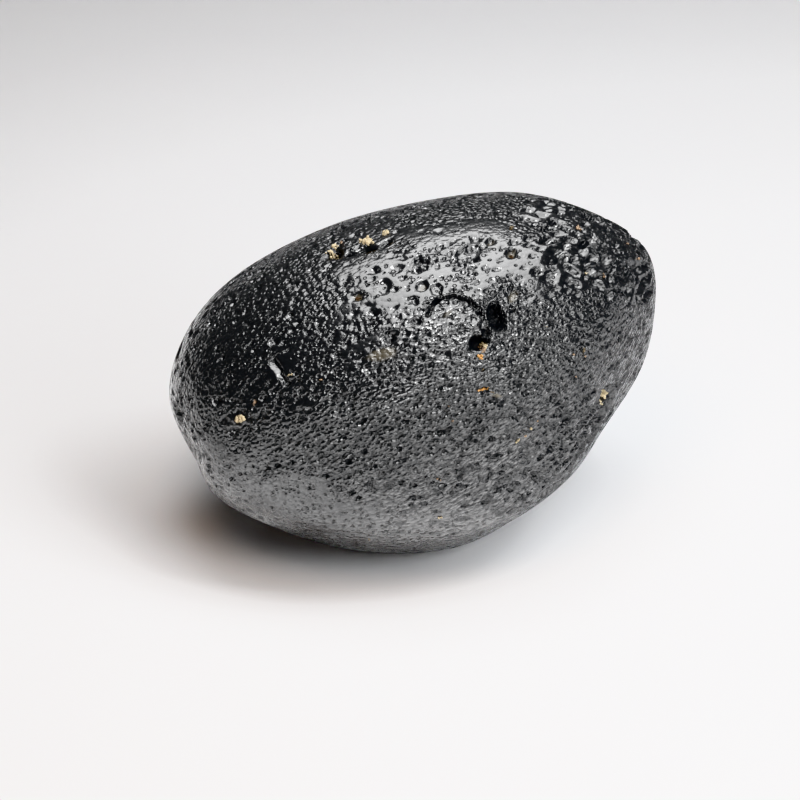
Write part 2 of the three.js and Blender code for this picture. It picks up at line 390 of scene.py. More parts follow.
NAMED_PITS = (
    # Burst bubbles under the islet, and the rough cluster above it.
    *pits(
        (-77.5, 42.5, 2.4, 2.0, 1.9), (-68.7, 47.5, 3.7, 2.3, 1.9, 80), (-74, 44.5, 1.4, 1.2, 1.2, 20),
        flatness=4,
    ),
    *pits((-51, 69, 4.2, 2.5, 0.55, 15), flatness=5, ragged=0.15),
    *pits((-35, 70.7, 1.6, 1.2, 0.5), (-59, 50.7, 1.9, 1.0, 0.6, 30), ragged=0.2),
    *pits((-61.7, 66.8, 1.5, 1.1, 0.45, 40), ragged=0.15),
    # Left of the window: dishes and merged bubbles.
    *pits(
        (-64.5, 75.9, 1.1, 1.0, 0.2), (-98.5, 74.8, 1.9, 1.2, 0.25), (-106.7, 69.2, 2.3, 1.5, 0.32, 90),
        (-118.8, 76.1, 1.2, 1.0, 0.25), (-86.7, 65.4, 1.6, 1.5, 0.45),
        flatness=9,
    ),
    *pits(
        (-71, 72.8, 0.9, 0.8, 0.4), (-87.9, 58.9, 1.0, 0.8, 0.4), (-93, 54.2, 1.3, 1.1, 0.45),
        ragged=0.2,
    ),
    *pits(
        (-81.4, 74.7, 1.5, 1.2, 0.6, 60), (-77, 73.6, 1.2, 0.9, 0.6, 20), (-86, 72.4, 1.1, 0.8, 0.5, 110),
        ragged=0.25,
    ),
    *pits(
        (-95.2, 70.6, 0.8, 0.7, 0.35), (-100.7, 67, 0.8, 0.7, 0.35), (-94.2, 66.8, 0.6, 0.5, 0.2),
        (-100.8, 60.3, 1.0, 0.5, 0.3, 45), (-97, 59.4, 0.5, 0.5, 0.2), (-99.8, 57, 0.8, 0.6, 0.3, 120),
        (-95.6, 48.3, 1.0, 0.9, 0.4), (-121.5, 67, 1.4, 1.3, 0.5),
    ),
    *pits((-81.6, 62.5, 1.9, 1.4, 0.35, 80), flatness=9, ragged=0.12),
    *pits(
        (-93, 61.5, 1.3, 1.1, 0.35), (-110.3, 60.4, 1.3, 0.9, 0.3, 150), (-103, 51.4, 1.6, 1.3, 0.55, 100),
        flatness=7,
    ),
    # A string of fine rings along the middle of the window.
    *pits(
        (-76.1, 65.5, 0.6, 0.5, 0.22), (-72.9, 64.8, 0.65, 0.55, 0.22), (-71.2, 63.3, 0.75, 0.65, 0.2),
        (-69.2, 62, 0.75, 0.65, 0.22), (-66.8, 60.9, 0.7, 0.6, 0.2), (-65.4, 59.2, 0.8, 0.5, 0.22),
        (-71, 59.5, 0.8, 0.6, 0.25, 80), (-68.2, 56.8, 0.55, 0.5, 0.22), (-65.4, 55.8, 0.8, 0.55, 0.3, 40),
        (-60.3, 57.8, 0.7, 0.6, 0.22), (-60.7, 55.8, 0.7, 0.6, 0.25), (-59, 54.7, 0.8, 0.65, 0.28),
        (-56.7, 53.4, 0.8, 0.65, 0.28), (-60.9, 64.2, 0.6, 0.5, 0.2), (-56.1, 62.2, 0.8, 0.65, 0.25),
        (-53.5, 59.9, 1.0, 0.6, 0.25, 150),
        flatness=9,
    ),
    *pits(
        (-65, 64.4, 0.9, 0.6, 0.3, 30), (-76, 60.3, 0.8, 0.6, 0.3), (-73.7, 58.8, 0.8, 0.6, 0.3),
        (-69.3, 52.5, 0.8, 0.5, 0.25, 45),
    ),
    *pits((-62.5, 69.6, 1.0, 0.75, 0.3, 70), flatness=7),
    # Right of the window.
    *pits(
        (-34.7, 67.2, 1.2, 0.9, 0.6), (-39.1, 60.9, 1.7, 1.2, 0.75, 20), (-43.3, 52.6, 1.1, 1.0, 0.7),
        (-30.2, 62.3, 1.3, 0.9, 0.35),
        flatness=7,
    ),
    *pits(
        (-52.6, 56.2, 0.7, 0.6, 0.25), (-47, 61.6, 0.55, 0.5, 0.18), (-41.8, 49.3, 2.3, 1.9, 0.35),
        flatness=9,
    ),
    *pits((-44.7, 55.6, 0.7, 0.6, 0.3), (-63, 46.9, 1.8, 1.1, 0.4, 80)),
    # The crack that holds the streak of soil, and the two hollows at the top left.
    *pits((-80.6, 29.2, 2.4, 0.45, 0.5, 172)),
    *pits((168.5, 77.2, 2.1, 1.6, 1.7, 60), (-163.0, 83.4, 2.2, 1.3, 1.5, 30), flatness=4),
    # Scabby right end.
    *pits(
        (-13.5, 45, 2.7, 1.5, 0.8, 10), (-9.5, 37, 1.9, 1.4, 0.6, 60), (-10.5, 30, 2.2, 1.6, 0.6, 100),
        (4.5, 43, 2.8, 1.9, 0.8, 90), (8, 28, 2.6, 2.0, 0.7, 30),
        ragged=0.2,
    ),
    *pits(
        (-6.5, 54.5, 1.8, 1.5, 0.5), (-19, 40, 2.0, 1.8, 0.7), (-33, -1, 3.0, 2.4, 0.5, 100),
        ragged=0.15,
    ),
    *pits((-23.5, 36, 1.5, 1.3, 0.5), (-16, 24, 1.8, 1.5, 0.45), (2, 8, 2.2, 1.8, 0.6, 120)),
    *pits((-37.6, 3.4, 3.0, 2.1, 1.2, 10), flatness=4),
    # Long gouges low on the right.
    *pits(
        (-59.4, 9, 2.1, 0.9, 0.7, 50), (-60.8, 1.4, 1.5, 0.9, 0.7, 40), (-44.9, 0.8, 1.8, 1.0, 0.7, 20),
        (-49.9, -5.2, 1.7, 0.9, 0.6, 20), (-68.1, 4, 1.5, 1.0, 0.6, 20), (-63.3, -0.8, 1.7, 0.9, 0.6, 40),
        (-59, -4, 1.6, 0.8, 0.6, 20), (-55.6, -8.6, 1.8, 0.9, 0.6, 25), (-57.8, -11.2, 1.6, 0.8, 0.6, 15),
        (-68.3, -10.6, 2.1, 1.0, 0.6, 35),
    ),
    # Left end.
    *pits((178, 14, 3.4, 2.6, 0.8, 40), (160, 30, 2.6, 1.9, 0.6, 120), ragged=0.15),
    *pits(
        (-170, -12, 2.4, 2.0, 0.6), (165, -8, 2.2, 2.1, 0.6), (-158, 30, 1.7, 1.3, 0.5, 30),
        (-150, 52, 1.6, 1.2, 0.4, 60),
    ),
    # Back.
    *pits((102, 18, 5.6, 4.2, 1.0, 25), ragged=0.12),
    *pits((97, 22, 2.4, 2.0, 1.5), flatness=4),
    *pits((66, 38, 3.0, 2.3, 0.8, 70), (58, -4, 3.6, 2.6, 0.8, 20), ragged=0.15),
    *pits(
        (122, -12, 2.8, 2.3, 0.7, 140), (131, 44, 2.4, 2.0, 0.6), (84, -32, 2.6, 2.2, 0.6),
        (35, 20, 2.2, 1.8, 0.6), (28, 48, 2.6, 1.8, 0.6, 45), (110, 58, 2.0, 1.8, 0.5),
    ),
)

GROOVES = (
    # Folds low on the front.
    Groove(0.45, 0.28, ((-80.1, 28), (-83.6, 20.3), (-87.5, 12.7), (-90.6, 4.2))),
    Groove(0.4, 0.2, ((-97.1, 20.2), (-92.1, 18.2))),
    # The crescent rim round the islet above the burst bubbles.
    Groove(
        0.6,
        0.78,
        ((-89, 55), (-86.5, 57.8), (-81.6, 59.4), (-77, 58.6), (-73.2, 55), (-72.2, 51.5), (-72.7, 48)),
    ),
    # The two strokes of a bright scar on the left.
    Groove(0.95, 0.55, ((-143.5, 45.8), (-139, 43.6))),
    Groove(0.75, 0.45, ((-137.6, 42.2), (-133.4, 39.2))),
    # Between the two hollows at the top left, and low on the right.
    Groove(0.9, 1.2, ((-178, 79.5), (-162.3, 82.9), (-138.8, 85.3), (-127.1, 87.3))),
    Groove(1.0, 0.6, ((-35.2, -8.5), (-40.8, -10.2), (-45, -12))),
    # Over the right end.
    Groove(1.1, 0.45, ((-26.5, 53), (-33, 48), (-33, 45))),
    Groove(1.1, 0.5, ((-20, 47), (-28, 44), (-30, 37))),
    # Round the back.
    Groove(1.5, 0.6, ((44, 30), (56, 24), (70, 10), (78, -4))),
    Groove(1.4, 0.55, ((140, 22), (146, 8), (143, -8))),
    Groove(1.3, 0.5, ((20, -12), (34, -22), (52, -26))),
)

# Thin films of clay dried on the glass, from 0 to 1 deep. The first lies on the skin by itself,
# the others line the floors of pits and grooves.
STAINS = (
    *pits((-105, 46.2, 3.9, 1.5, 0.35), flatness=4),
    *pits(
        (-39.1, 60.9, 1.4, 0.9, 0.8, 20), (-121.5, 67, 1.1, 1.0, 0.8), (-34.7, 67.2, 0.9, 0.7, 0.6),
        (-86.7, 65.4, 1.0, 1.0, 0.35), (-82.2, 53.7, 1.4, 0.7, 0.2, 20),
        (-59, 50.7, 1.9, 1.0, 0.35, 30), (-78.1, 25.9, 1.6, 0.45, 0.6, 155),
    ),
)


@dataclass(frozen=True)
class CloseUp:
    """A place where the mesh is drawn together: its spread in degrees and how hard it pulls."""

    azimuth: float
    elevation: float
    spread: float
    pull: float

    def drawn(self, ways: np.ndarray) -> np.ndarray:
        """Draws directions towards the place.

        Args:
            ways: Unit vectors, one a row.

        Returns:
            The same vectors, nearer to the place the closer they already were.
        """
        tiny = 1e-9
        centre = direction(self.azimuth, self.elevation)
        along = ways @ centre
        apart = np.arccos(np.clip(along, -1.0, 1.0))
        across = unit(ways - along[:, None] * centre + tiny)
        pull = self.pull * np.exp(-((apart / math.radians(self.spread)) ** 2))
        nearer = (apart * (1.0 - pull))[:, None]
        return unit(np.cos(nearer) * centre + np.sin(nearer) * across)


# ---- Kinds of skin ----


@dataclass(frozen=True)
class Patch:
    """A round patch of skin: its place and radius in degrees, and two shares that its edge spans."""

    azimuth: float
    elevation: float
    radius: float
    inner: float = 0.75
    outer: float = 1.15

    def weight(self, ways: np.ndarray, edge: np.ndarray) -> np.ndarray:
        """Gives 1 well inside the patch and 0 outside it, for an edge that wanders by degrees."""
        apart = np.degrees(np.arccos(np.clip(ways @ direction(self.azimuth, self.elevation), -1, 1)))
        return 1.0 - smooth(apart + edge, self.inner * self.radius, self.outer * self.radius)


# Azimuth, elevation and radius of every patch, the kinds that lie on top first.
PATCHES = {
    Skin.CRINKLED: (
        (-90, 49, 6), (-82, 45.5, 4), (-81, 52.5, 5), (-53, 69, 5), (-80, 74, 3.5), (-60, 50, 3.5),
        (-98, 50, 6), (-10, 38, 9), (-5, 50, 7),
    ),
    Skin.BUBBLED: (
        (-76, 63.5, 3.5), (-70, 61.5, 3.5), (-64, 59.5, 3.5), (-57, 58, 4), (-50, 55, 4),
        (-44, 53, 3.5),
    ),
    Skin.SCABBY: ((-12, 42, 14), (-26, 49, 8), (0, 50, 12), (-10, 31, 10), (10, 30, 12), (118, 6, 16)),
    Skin.WINDOW: (
        (-100, 66, 13), (-85, 73, 13), (-62, 66, 13), (-45, 60, 12), (-30, 65, 10), (-112, 79, 10),
        (-40, 79, 9), (-42, 52, 8), (-92, 58, 9), (-108, 63, 7), (-102, 53, 6), (-139, 43, 3),
        (62, 34, 15),
    ),
    Skin.PEPPERED: (
        (-150, 48, 26), (-128, 42, 16), (-128, 36, 10), (-116, 38, 7), (-107, 37, 7), (-98, 39, 7),
        (-89, 36, 6), (-79, 34, 5), (-45, 35, 7), (-36, 30, 7), (-170, 65, 18), (175, 80, 9),
        (-145, 83, 8), (150, 20, 30), (120, 82, 9),
    ),
    Skin.FURROWED: ((-52, 3, 12), (-40, -3, 14), (-62, -12, 15)),
    Skin.WORN: ((-150, 0, 18), (-132, -10, 20), (-112, -24, 20), (-92, -32, 17)),
}


@dataclass(frozen=True)
class Pitting:
    """How one kind of skin is pitted.

    The count is the pits to a square millimetre. Their widths run from narrow to wide in mm, their
    depth is a share of the width, and stretch is their middling length over their width. Flatness
    and raggedness are a bowl's. Of what is finer than the mesh, micro and blisters are the shares
    of places with a fine pit or an opened bubble, cobbles is the height of the rounded bumps over
    the glass's usual one, and roughness is the glass's own, under its gloss.
    """

    count: float
    narrow: float
    wide: float
    depth: float
    flatness: float
    ragged: float
    stretch: float
    micro: float
    cobbles: float
    roughness: float
    blisters: float


PITTING = {
    Skin.ETCHED: Pitting(0.35, 0.6, 0.95, 0.34, 2.5, 0.08, 1.35, 1.0, 1.1, 0.42, 0.1),
    Skin.WINDOW: Pitting(0.12, 0.45, 0.75, 0.3, 8.0, 0.05, 1.1, 0.1, 0.1, 0.4, 0.45),
    Skin.CRINKLED: Pitting(1.9, 0.4, 1.1, 0.45, 2.2, 0.25, 1.3, 0.3, 0.3, 0.4, 0.3),
    Skin.BUBBLED: Pitting(0.05, 0.45, 0.75, 0.3, 8.0, 0.05, 1.1, 0.1, 0.1, 0.4, 1.0),
    Skin.PEPPERED: Pitting(0.45, 0.5, 0.9, 0.36, 2.5, 0.1, 1.2, 0.6, 0.35, 0.4, 0.1),
    Skin.SCABBY: Pitting(1.3, 0.8, 2.0, 0.52, 2.2, 0.22, 1.4, 0.05, 0.08, 0.4, 0.1),
    Skin.FURROWED: Pitting(1.1, 0.6, 1.1, 0.55, 2.4, 0.12, 2.4, 1.0, 0.3, 0.42, 0.05),
    Skin.WORN: Pitting(0.3, 0.4, 0.7, 0.4, 2.5, 0.1, 1.5, 0.5, 0.3, 0.45, 0.05),
}


@dataclass(frozen=True)
class Scatter:
    """How the small pits are scattered over the skin, in millimetres and shares.

    More places are tried than the skin's count asks for, as a pit too near another is left out.
    """

    seed: int = 7
    tries: float = 1.5
    stray: float = 0.12
    narrowness: float = 1.6
    swing: float = 0.5
    shallowest: float = 0.6
    deeper: float = 0.8
    phases: float = 9.0


@dataclass
class Room:
    """The room that pits leave for others: a gap as a share of two widths, in cells of some mm."""

    cell: float = 1.8
    gap: float = 0.4
    taken: dict[tuple[int, ...], list[tuple[np.ndarray, float]]] = field(default_factory=dict)

    def claim(self, at: np.ndarray, width: float) -> bool:
        """Takes a place for a pit, unless another lies too near.

        Args:
            at: The pit's middle.
            width: Its width in millimetres.

        Returns:
            Whether there was room.
        """
        key = tuple(int(k) for k in np.floor(at / self.cell))
        around = product(*((k - 1, k, k + 1) for k in key))
        near = [other for cell in around for other in self.taken.get(cell, ())]
        if any(np.linalg.norm(at - where) < self.gap * (width + broad) for where, broad in near):
            return False
        self.taken.setdefault(key, []).append((at, width))
        return True


# ---- The stone ----


@dataclass
class Tektite:
    """The whole stone: its lump, its pits and its skin.

    The mesh is a cube of so many cuts, blown up round, with its vertices crowded towards the front.
    Scattered pits fade where a named one is deeper than the first fading depth, and the gloss goes
    where the skin is deeper than the first dulling depth, as painted shade for the deep hollows.
    """

    lump: Lump = field(default_factory=Lump)
    cuts: int = 127
    crowding: float = 0.2
    crowded: Pair = (-95.0, 40.0)
    close_ups: tuple[CloseUp, ...] = (CloseUp(-76, 60, 22, 0.42), CloseUp(-12, 42, 13, 0.25))
    flow: Point = (0.94, 0.1, 0.32)
    edges: tuple[Wave, ...] = (
        Wave((17, -9, 13), 0.3, 2.0),
        Wave((-11, 21, 9), 2.1, 2.0),
        Wave((23, 14, -19), 4.0, 2.0),
    )
    scatter: Scatter = Scatter()
    fading: Pair = (0.5, 1.2)
    dulling: Pair = (0.55, 1.2)
    film_cover: float = 2.0

    def build(self) -> bpy.types.Object:
        """Builds the stone as one closed mesh inside the frame's box.

        Returns:
            The stone's object, with its skin's numbers as attributes.
        """
        self.bm = bmesh.new()
        self._blow_up()
        self._read()
        self._read_patches()
        self.stains = self._carve([stain.bowl(self.lump) for stain in STAINS])
        self.bare = 1.0 - np.minimum(self.film_cover * self.stains, 1.0)
        named = self._carve(self._named_bowls())
        scattered = self._carve(self._scattered_bowls())
        self.depths = named + scattered * (1.0 - smooth(named, *self.fading))
        self.points -= self.normals * self.depths[:, None]
        self._rest()
        self.low, self.high = self.points.min(axis=0), self.points.max(axis=0)
        self._move(self.into_frame(self.points))
        stone = finished("tektite_stone", self.bm)
        self._write(stone.data)
        return stone

    def _blow_up(self) -> None:
        """Blows a cube up into the lump, with its vertices drawn towards the front."""
        bm = self.bm
        bmesh.ops.create_cube(bm, size=2.0)
        bmesh.ops.subdivide_edges(bm, edges=bm.edges[:], cuts=self.cuts, use_grid_fill=True)
        corners = np.array([v.co for v in bm.verts])
        even = unit(np.tan(corners * math.pi / 4))
        self.ways = unit(even + self.crowding * direction(*self.crowded))
        for place in self.close_ups:
            self.ways = place.drawn(self.ways)
        self._move(self.lump.skin(self.ways))
        bmesh.ops.recalc_face_normals(bm, faces=bm.faces[:])
        bm.normal_update()

    def _move(self, points: np.ndarray) -> None:
        """Moves the vertices to points, one a row."""
        for vert, point in zip(self.bm.verts, points):
            vert.co = point

    def _read(self) -> None:
        """Reads the lump's points, normals and areas, and sorts its points for carving."""
        verts = self.bm.verts
        self.points = np.array([v.co for v in verts])
        self.normals = np.array([v.normal for v in verts])
        # Each vertex has a quarter of the four-sided faces round it.
        self.areas = np.array([sum(f.calc_area() for f in v.link_faces) / 4 for v in verts])
        self.tree = KDTree(len(self.points))
        for index, point in enumerate(self.points):
            self.tree.insert(point, index)
        self.tree.balance()

    def _read_patches(self) -> None:
        """Works out how much of each kind of skin every vertex has."""
        edge = sum(wave.raised(self.ways) for wave in self.edges)
        self.weights = {}
        free = np.ones(len(self.ways))
        for kind, rows in PATCHES.items():
            inside = np.max([Patch(*row).weight(self.ways, edge) for row in rows], axis=0)
            self.weights[kind] = inside * free
            free = free * (1.0 - inside)
        self.weights[Skin.ETCHED] = free

    def _blend(self, name: str) -> np.ndarray:
        """Gives one number of the pitting at each vertex, blended by the kinds of skin."""
        return sum(self.weights[kind] * getattr(PITTING[kind], name) for kind in Skin)

    def _named_bowls(self) -> list[Bowl]:
        """Gives the bowls of the named pits and grooves."""
        grooves = [bowl for groove in GROOVES for bowl in groove.bowls(self.lump)]
        return [pit.bowl(self.lump) for pit in NAMED_PITS] + grooves

    def _scattered_bowls(self) -> list[Bowl]:
        """Gives the small pits all over the skin, kept a little apart from each other.

        Returns:
            The pits that found room.
        """
        rng = np.random.default_rng(self.scatter.seed)
        crowd = self._blend("count") * self.areas * self.bare
        total = int(self.scatter.tries * crowd.sum())
        picks = rng.choice(len(crowd), size=total, p=crowd / crowd.sum())
        names = ("narrow", "wide", "depth", "flatness", "ragged", "stretch")
        numbers = np.column_stack([self._blend(name) for name in names])
        room = Room()
        bowls = []
        for pick in picks:
            chances = rng.random(5)
            shift = rng.normal(0.0, self.scatter.stray, 3)
            out = self.normals[pick]
            at = self.points[pick] + shift - out * (shift @ out)
            narrow, wide, *build = numbers[pick]
            width = narrow + (wide - narrow) * chances[0] ** self.scatter.narrowness
            if room.claim(at, width):
                bowls.append(self._scattered_bowl(at, out, width, build, chances[1:]))
        log.info("scattered pits: %d", len(bowls))
        return bowls

    def _scattered_bowl(
        self, at: np.ndarray, out: np.ndarray, width: float, build: list[float], chances: np.ndarray
    ) -> Bowl:
        """Gives one small pit, drawn out along the flow of the glass.

        Args:
            at: Its middle.
            out: The skin's outward way there.
            width: Its width in millimetres.
            build: Its depth as a share of its width, its flatness, raggedness and stretch.
            chances: Four numbers from 0 to 1, for its length, turn, depth and phase.

        Returns:
            The bowl.
        """
        depth, flatness, ragged, stretch = build
        longer, turn, sunk, phase = chances
        flow = np.array(self.flow)
        turned = self.scatter.swing * (turn - 0.5) * np.cross(out, flow)
        along = unit(flow - out * (flow @ out) + turned)
        along = unit(along - out * (along @ out))
        ways = np.array([along, np.cross(out, along), out])
        # A pit is drawn out from not at all to twice as far as is usual for its skin.
        length = width * (1.0 + (stretch - 1.0) * 2 * longer)
        deep = depth * width * (self.scatter.shallowest + self.scatter.deeper * sunk)
        phase = self.scatter.phases * phase
        return Bowl(at, ways, length / 2, width / 2, deep, flatness, ragged, phase)

    def _carve(self, bowls: list[Bowl]) -> np.ndarray:
        """Gives how deep bowls cut at each vertex.

        Args:
            bowls: The hollows, of which the deepest counts.

        Returns:
            Millimetres for each vertex.
        """
        depths = np.zeros(len(self.points))
        for bowl in bowls:
            near = [index for _, index, _ in self.tree.find_range(bowl.at, bowl.reach())]
            if near:
                depths[near] = np.maximum(depths[near], bowl.sunk(self.points[near]))
        return depths

    def _rest(self) -> None:
        """Wears the belly flat where the stone rests."""
        floor = self.points[:, 2].min() + self.lump.rest_depth
        self.points[:, 2] = np.maximum(self.points[:, 2], floor)

    def into_frame(self, points: np.ndarray) -> np.ndarray:
        """Puts points on the stone, in millimetres, into the frame's box, in metres."""
        cad_low, cad_high = np.array(CAD_BOX[0]), np.array(CAD_BOX[1])
        return cad_low + (points - self.low) / (self.high - self.low) * (cad_high - cad_low)

    def _write(self, mesh: bpy.types.Mesh) -> None:
        """Writes the skin's numbers to the mesh for the finish to read.

        Args:
            mesh: The stone's mesh.
        """
        values = {
            "micro": self._blend("micro") * self.bare,
            "cobbles": self._blend("cobbles") * self.bare,
            "roughness": self._blend("roughness"),
            "blisters": self._blend("blisters"),
            # Deep hollows, where the finish thins the gloss as painted shade.
            "hollow": smooth(self.depths, *self.dulling),
            "clay": self.stains,
        }
        for name, value in values.items():
            layer = mesh.attributes.new(name, "FLOAT", "POINT")
            layer.data.foreach_set("value", value.astype(np.float32))


# ---- The soil ----


class Tint(Enum):
    """The colours that the soil in the pits has dried to."""

    CREAM = "#d2c5a6"
    TAN = "#9f8a75"
    ORANGE = "#cd9f66"
    OLIVE = "#6f6451"
    BROWN = "#4d3c2c"


@dataclass(frozen=True)
class Clod:
    """A few grains of soil stuck together: its place, size in mm, turn, tint and grains."""

    azimuth: float
    elevation: float
    length: float
    width: float
    turn: float
    tint: Tint
    grains: int


CLODS = tuple(
    Clod(*row)
    for row in (
        # Round the hollows at the top left, and beyond them.
        (160.9, 76.1, 1.2, 0.6, 90, Tint.CREAM, 20), (151.4, 76.2, 1, 0.5, 60, Tint.CREAM, 15),
        (148.2, 77.6, 0.6, 0.3, 20, Tint.TAN, 8), (164.6, 84.1, 1.8, 1.3, 60, Tint.CREAM, 46),
        (120.2, 87, 1.1, 0.7, 30, Tint.CREAM, 15),
        # On the left shoulder.
        (-145.5, 26.2, 1.3, 0.85, 10, Tint.CREAM, 24), (-142.5, 32.3, 0.6, 0.3, 60, Tint.TAN, 4),
        (-122.7, 40.6, 0.5, 0.4, 30, Tint.TAN, 3), (-134, 42, 0.7, 0.3, 20, Tint.CREAM, 4),
        # Round the burst bubbles.
        (-75.9, 41.4, 1, 0.5, 75, Tint.CREAM, 16), (-77.3, 39.9, 1.1, 0.45, 75, Tint.TAN, 13),
        (-78.9, 38.4, 0.7, 0.5, 75, Tint.ORANGE, 9), (-79.5, 34.6, 0.4, 0.25, 0, Tint.OLIVE, 3),
        # The streak below them.
        (-81, 28.8, 1.6, 0.22, 175, Tint.ORANGE, 22), (-79.1, 27.5, 0.8, 0.2, 150, Tint.OLIVE, 5),
        # On the right end.
        (-17.9, 64.3, 0.8, 0.4, 20, Tint.OLIVE, 6), (-8.3, 48.5, 0.9, 0.6, 10, Tint.TAN, 8),
        (-4.2, 33.9, 0.5, 0.3, 80, Tint.TAN, 4), (-6, 29.4, 0.6, 0.4, 120, Tint.TAN, 4),
        (-28.2, 42.5, 0.5, 0.4, 0, Tint.CREAM, 3), (-25, 38.2, 0.5, 0.3, 70, Tint.TAN, 4),
        (-12.2, 21.2, 0.4, 0.3, 0, Tint.TAN, 3),
        # Over the front.
        (-48.5, 26.5, 0.7, 0.35, 70, Tint.OLIVE, 5), (-56.7, 38.7, 0.4, 0.3, 0, Tint.OLIVE, 2),
        (-52.5, 27.4, 0.4, 0.3, 0, Tint.TAN, 2), (-48.8, 24.6, 0.4, 0.3, 0, Tint.TAN, 2),
        (-54, 20.2, 0.4, 0.3, 0, Tint.TAN, 2), (-75, 8.4, 0.7, 0.4, 20, Tint.CREAM, 6),
        (-71, 11.3, 0.4, 0.3, 0, Tint.CREAM, 3), (-72.7, 9.4, 0.3, 0.3, 0, Tint.TAN, 2),
        (-69, 13, 0.3, 0.2, 0, Tint.TAN, 2), (-90, 26.8, 0.4, 0.3, 0, Tint.TAN, 2),
        (-89.4, 21.8, 0.3, 0.3, 0, Tint.TAN, 2), (-94.4, 1.3, 0.4, 0.3, 0, Tint.TAN, 2),
        (-95.3, -17.2, 0.5, 0.3, 0, Tint.CREAM, 3), (-114, -27, 0.4, 0.3, 0, Tint.TAN, 2),
        # In the deeper pits.
        (-35.7, 1.1, 1.3, 0.9, 70, Tint.CREAM, 44), (-39.4, 0.8, 0.7, 0.5, 70, Tint.CREAM, 8),
        (-39.1, 60.9, 0.9, 0.5, 20, Tint.BROWN, 8), (-121.5, 67, 0.8, 0.6, 0, Tint.BROWN, 6),
        # On the sides that face away.
        (102, 18, 3.0, 2, 25, Tint.TAN, 40), (97, 22, 1.3, 1.1, 0, Tint.CREAM, 16),
        (66, 38, 1.5, 1, 70, Tint.TAN, 16), (122, -12, 1.4, 1.1, 140, Tint.CREAM, 12),
        (58, -4, 1.9, 1.1, 20, Tint.OLIVE, 18), (146, 8, 2.2, 0.7, 80, Tint.TAN, 18),
        (64, 17, 2.0, 0.8, 130, Tint.ORANGE, 16), (34, -22, 1.7, 0.7, 150, Tint.TAN, 12),
    )
)


@dataclass
class DriedSoil:
    """The dried soil left in the stone's pits and grooves, as loose grains stuck to the glass.

    Grains are from narrow to wide in mm, smaller in thin clods, and sunk by a share of their width.
    """

    stone: Tektite
    seed: int = 23
    narrow: float = 0.2
    wide: float = 0.62
    smallest: float = 0.3
    thinning: float = 1.5
    sunk: float = 0.25
    fill: float = 1.5
    spread: float = 0.45
    reach: float = 2.0
    shape: Point = (1.0, 0.85, 0.65)
    knocks: float = 0.12
    shades: Pair = (0.75, 1.15)

    def build(self, glass: bpy.types.Object) -> bpy.types.Object:
        """Builds every grain on the stone's skin.

        Args:
            glass: The finished stone.

        Returns:
            The soil's object, with its tints as an attribute.
        """
        corners, faces = glass.data.vertices, glass.data.polygons
        self.skin = BVHTree.FromPolygons([v.co for v in corners], [f.vertices for f in faces])
        self.rng = np.random.default_rng(self.seed)
        self.bm = bmesh.new()
        self.tints = self.bm.verts.layers.float_color.new("tint")
        for clod in CLODS:
            self._drop(clod)
        bmesh.ops.recalc_face_normals(self.bm, faces=self.bm.faces[:])
        return finished("dried_soil", self.bm)

    def _drop(self, clod: Clod) -> None:
        """Drops a clod's grains onto the skin.

        Args:
            clod: The clod to drop.
        """
        at, (east, north, out) = self.stone.lump.seat(clod.azimuth, clod.elevation)
        turn = math.radians(clod.turn)
        along = math.cos(turn) * east + math.sin(turn) * north
        across = np.cross(out, along)
        share = min(1.0, clod.width / self.wide) ** self.thinning
        size = MM * (self.smallest + (1.0 - self.smallest) * share)
        for _ in range(round(self.fill * clod.grains)):
            u, v = np.clip(self.rng.normal(0.0, self.spread, 2), -1.0, 1.0)
            place = at + along * u * clod.length / 2 + across * v * clod.width / 2
            start = self.stone.into_frame(place + self.reach * out)
            end = self.stone.into_frame(place - self.reach * out)
            down = Vector(end - start).normalized()
            hit, *_ = self.skin.ray_cast(Vector(start), down)
            if hit is not None:
                radius = (self.narrow + (self.wide - self.narrow) * self.rng.random() ** 2) / 2
                radius *= size
                self._grain(hit - down * radius * (1 - 2 * self.sunk), radius, clod.tint)

    def _grain(self, centre: Vector, radius: float, tint: Tint) -> None:
        """Adds one grain, a knocked-about lump a little flatter than it is wide.

        Args:
            centre: The middle of the grain, in metres.
            radius: Half its width, in metres.
            tint: Its clod's colour.
        """
        turn = Quaternion(self.rng.normal(0.0, 1.0, 4)).normalized().to_matrix().to_4x4()
        matrix = Matrix.Translation(centre) @ turn @ Matrix.Diagonal((*self.shape, 1.0))
        made = bmesh.ops.create_icosphere(self.bm, subdivisions=1, radius=radius, matrix=matrix)
        shade = self.rng.uniform(*self.shades)
        red, green, blue, _ = linear(tint.value)
        for vert in made["verts"]:
            vert.co += Vector(self.rng.normal(0.0, self.knocks * radius, 3))
            vert[self.tints] = (red * shade, green * shade, blue * shade, 1.0)


# ---- Finishes ----


def linear(colour: str) -> tuple[float, ...]:
    """Turns an sRGB hex colour, as "#rrggbb", to linear red, green, blue and an alpha of 1."""
    parts = (int(colour[i : i + 2], 16) / 255 for i in (1, 3, 5))
    return *(p / 12.92 if p <= 0.04045 else ((p + 0.055) / 1.055) ** 2.4 for p in parts), 1.0


def add_node(
    tree: Tree, kind: str, inputs: dict[str | int, object] | None = None, **settings: object
) -> Node:
    """Adds a node with its settings and links.

    Args:
        tree: The node tree.
        kind: The node's type name, after "ShaderNode".
        inputs: Values or output sockets, by input name or number.
        settings: The node's own properties.

    Returns:
        The new node.
    """
    node = tree.nodes.new("ShaderNode" + kind)
    for name, value in settings.items():
        setattr(node, name, value)
    for name, value in (inputs or {}).items():
        if isinstance(value, Socket):
            tree.links.new(value, node.inputs[name])
        else:
            node.inputs[name].default_value = value
    return node


def read(tree: Tree, name: str, output: str = "Fac") -> Socket:
    """Adds a node that reads what the mesh holds under a name."""
    return add_node(tree, "Attribute", attribute_name=name).outputs[output]


